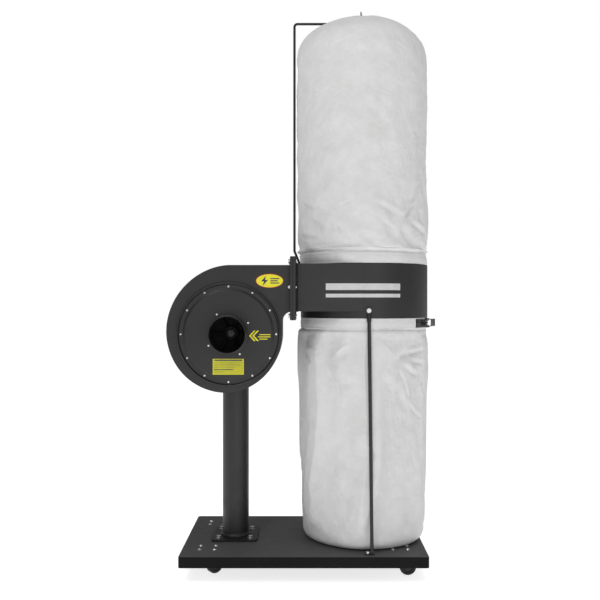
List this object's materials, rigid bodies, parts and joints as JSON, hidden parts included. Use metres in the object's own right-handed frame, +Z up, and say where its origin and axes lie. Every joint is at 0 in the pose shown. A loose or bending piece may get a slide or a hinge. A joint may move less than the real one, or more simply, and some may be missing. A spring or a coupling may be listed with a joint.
{
  "type": "dust collector",
  "caption": "Mobile workshop dust collector: belt-free blower on a post, blowing into a drum between a cloth filter bag and a dust bag, on a base with casters.",
  "frame": {"origin": "on the floor, under the middle of the base plate", "axes": "+Z up, -Y the side with the inlet port, +X from the blower towards the bags"},
  "size_m": [0.7613, 0.4341, 1.5985],
  "materials": {
    "dark_powder_coat": "satin fine-textured powder coat",
    "zinc_steel": "bright zinc plating",
    "caster_rubber": "matte moulded tread",
    "cast_aluminium": "as-cast, slightly grainy",
    "black_plastic": "fine moulded texture",
    "red_plastic": "glossy",
    "gasket_rubber": "matte foam rubber",
    "white_filter_felt": "needle felt, soft sheen",
    "yellow_label": "printed film",
    "grey_stripe": "printed film"
  },
  "bodies": {
    "frame": {"bag_hanger_rod": "dark_powder_coat", "base_bolts": "zinc_steel", "base_plate": "dark_powder_coat", "bearing_outer_races": "zinc_steel", "blower_labels": "yellow_label", "blower_outlet_flange": "dark_powder_coat", "cable_gland": "black_plastic", "capacitor": "cast_aluminium", "capacitor_cover": "dark_powder_coat", "caster_plates": "zinc_steel", "cover_screws": "zinc_steel", "drum_inlet_flange": "dark_powder_coat", "drum_shell": "dark_powder_coat", "drum_stripe": "grey_stripe", "fan_cowl": "dark_powder_coat", "flange_bolts": "zinc_steel", "front_end_bell": "cast_aluminium", "front_leg": "dark_powder_coat", "hanger_clips": "zinc_steel", "inlet_collar": "dark_powder_coat", "inlet_cover": "dark_powder_coat", "inlet_duct": "dark_powder_coat", "lower_band_clamp": "zinc_steel", "lower_dust_bag": "white_filter_felt", "motor_face_bolts": "zinc_steel", "motor_foot": "dark_powder_coat", "motor_frame": "dark_powder_coat", "outlet_gasket": "gasket_rubber", "post_bolts": "zinc_steel", "post_foot_plate": "dark_powder_coat", "post_saddle": "dark_powder_coat", "post_tube": "dark_powder_coat", "rear_end_bell": "cast_aluminium", "rear_legs": "dark_powder_coat", "stator": "zinc_steel", "switch_box": "black_plastic", "upper_band_clamp": "zinc_steel", "upper_filter_bag": "white_filter_felt", "volute_back_plate": "dark_powder_coat", "volute_front_plate": "dark_powder_coat", "volute_wrapper": "dark_powder_coat"},
    "rotor": {"motor_rotor": "zinc_steel", "bearing_inner_races": "zinc_steel", "cooling_fan": "black_plastic", "impeller_wheel": "dark_powder_coat", "impeller_blades": "dark_powder_coat", "impeller_bolt": "zinc_steel"},
    "switch_rocker": {"switch_rocker": "red_plastic"},
    "front_left_fork": {"front_left_fork": "zinc_steel"},
    "front_left_wheel": {"front_left_wheel": "caster_rubber"},
    "front_right_fork": {"front_right_fork": "zinc_steel"},
    "front_right_wheel": {"front_right_wheel": "caster_rubber"},
    "rear_left_fork": {"rear_left_fork": "zinc_steel"},
    "rear_left_wheel": {"rear_left_wheel": "caster_rubber"},
    "rear_right_fork": {"rear_right_fork": "zinc_steel"},
    "rear_right_wheel": {"rear_right_wheel": "caster_rubber"},
    "lower_latch_lever": {"lower_latch_lever": "zinc_steel"},
    "lower_latch_loop": {"lower_latch_loop": "zinc_steel"},
    "upper_latch_lever": {"upper_latch_lever": "zinc_steel"},
    "upper_latch_loop": {"upper_latch_loop": "zinc_steel"}
  },
  "joints": [
    {"name": "rotor_spin", "type": "hinge", "parent": "frame", "child": "rotor", "pos_m": [-0.204, -0.06, 0.67], "axis": [0, 1, 0], "continuous": true},
    {"name": "switch_rock", "type": "hinge", "parent": "frame", "child": "switch_rocker", "pos_m": [-0.309, 0.062, 0.672], "axis": [0, -1, 0], "range_deg": [0, 20]},
    {"name": "front_left_swivel", "type": "hinge", "parent": "frame", "child": "front_left_fork", "pos_m": [-0.267, -0.12, 0.058], "axis": [0, 0, 1], "continuous": true},
    {"name": "front_left_roll", "type": "hinge", "parent": "front_left_fork", "child": "front_left_wheel", "pos_m": [-0.24966, -0.10645, 0.023], "axis": [-0.6157, 0.788, 0], "continuous": true},
    {"name": "front_right_swivel", "type": "hinge", "parent": "frame", "child": "front_right_fork", "pos_m": [0.267, -0.12, 0.058], "axis": [0, 0, 1], "continuous": true},
    {"name": "front_right_roll", "type": "hinge", "parent": "front_right_fork", "child": "front_right_wheel", "pos_m": [0.289, -0.12, 0.023], "axis": [0, 1, 0], "continuous": true},
    {"name": "rear_left_swivel", "type": "hinge", "parent": "frame", "child": "rear_left_fork", "pos_m": [-0.267, 0.12, 0.058], "axis": [0, 0, 1], "continuous": true},
    {"name": "rear_left_roll", "type": "hinge", "parent": "rear_left_fork", "child": "rear_left_wheel", "pos_m": [-0.24706, 0.1107, 0.023], "axis": [0.4226, 0.9063, 0], "continuous": true},
    {"name": "rear_right_swivel", "type": "hinge", "parent": "frame", "child": "rear_right_fork", "pos_m": [0.267, 0.12, 0.058], "axis": [0, 0, 1], "continuous": true},
    {"name": "rear_right_roll", "type": "hinge", "parent": "rear_right_fork", "child": "rear_right_wheel", "pos_m": [0.2763, 0.13994, 0.023], "axis": [-0.9063, 0.4226, 0], "continuous": true},
    {"name": "lower_lever_swing", "type": "hinge", "parent": "frame", "child": "lower_latch_lever", "pos_m": [0.35875, -0.04464, 0.698], "axis": [0, 0, -1], "range_deg": [0, 110]},
    {"name": "lower_loop_swing", "type": "hinge", "parent": "lower_latch_lever", "child": "lower_latch_loop", "pos_m": [0.36003, -0.03234, 0.698], "axis": [0, 0, -1], "range_deg": [-110, 0]},
    {"name": "upper_lever_swing", "type": "hinge", "parent": "frame", "child": "upper_latch_lever", "pos_m": [0.169, 0.2035, 0.879], "axis": [0, 0, -1], "range_deg": [0, 110]},
    {"name": "upper_loop_swing", "type": "hinge", "parent": "upper_latch_lever", "child": "upper_latch_loop", "pos_m": [0.157, 0.2005, 0.879], "axis": [0, 0, -1], "range_deg": [-110, 0]}
  ],
  "couplings": [
    {"joint": "lower_loop_swing", "follows": "lower_lever_swing", "ratio": -1},
    {"joint": "upper_loop_swing", "follows": "upper_lever_swing", "ratio": -1}
  ]
}
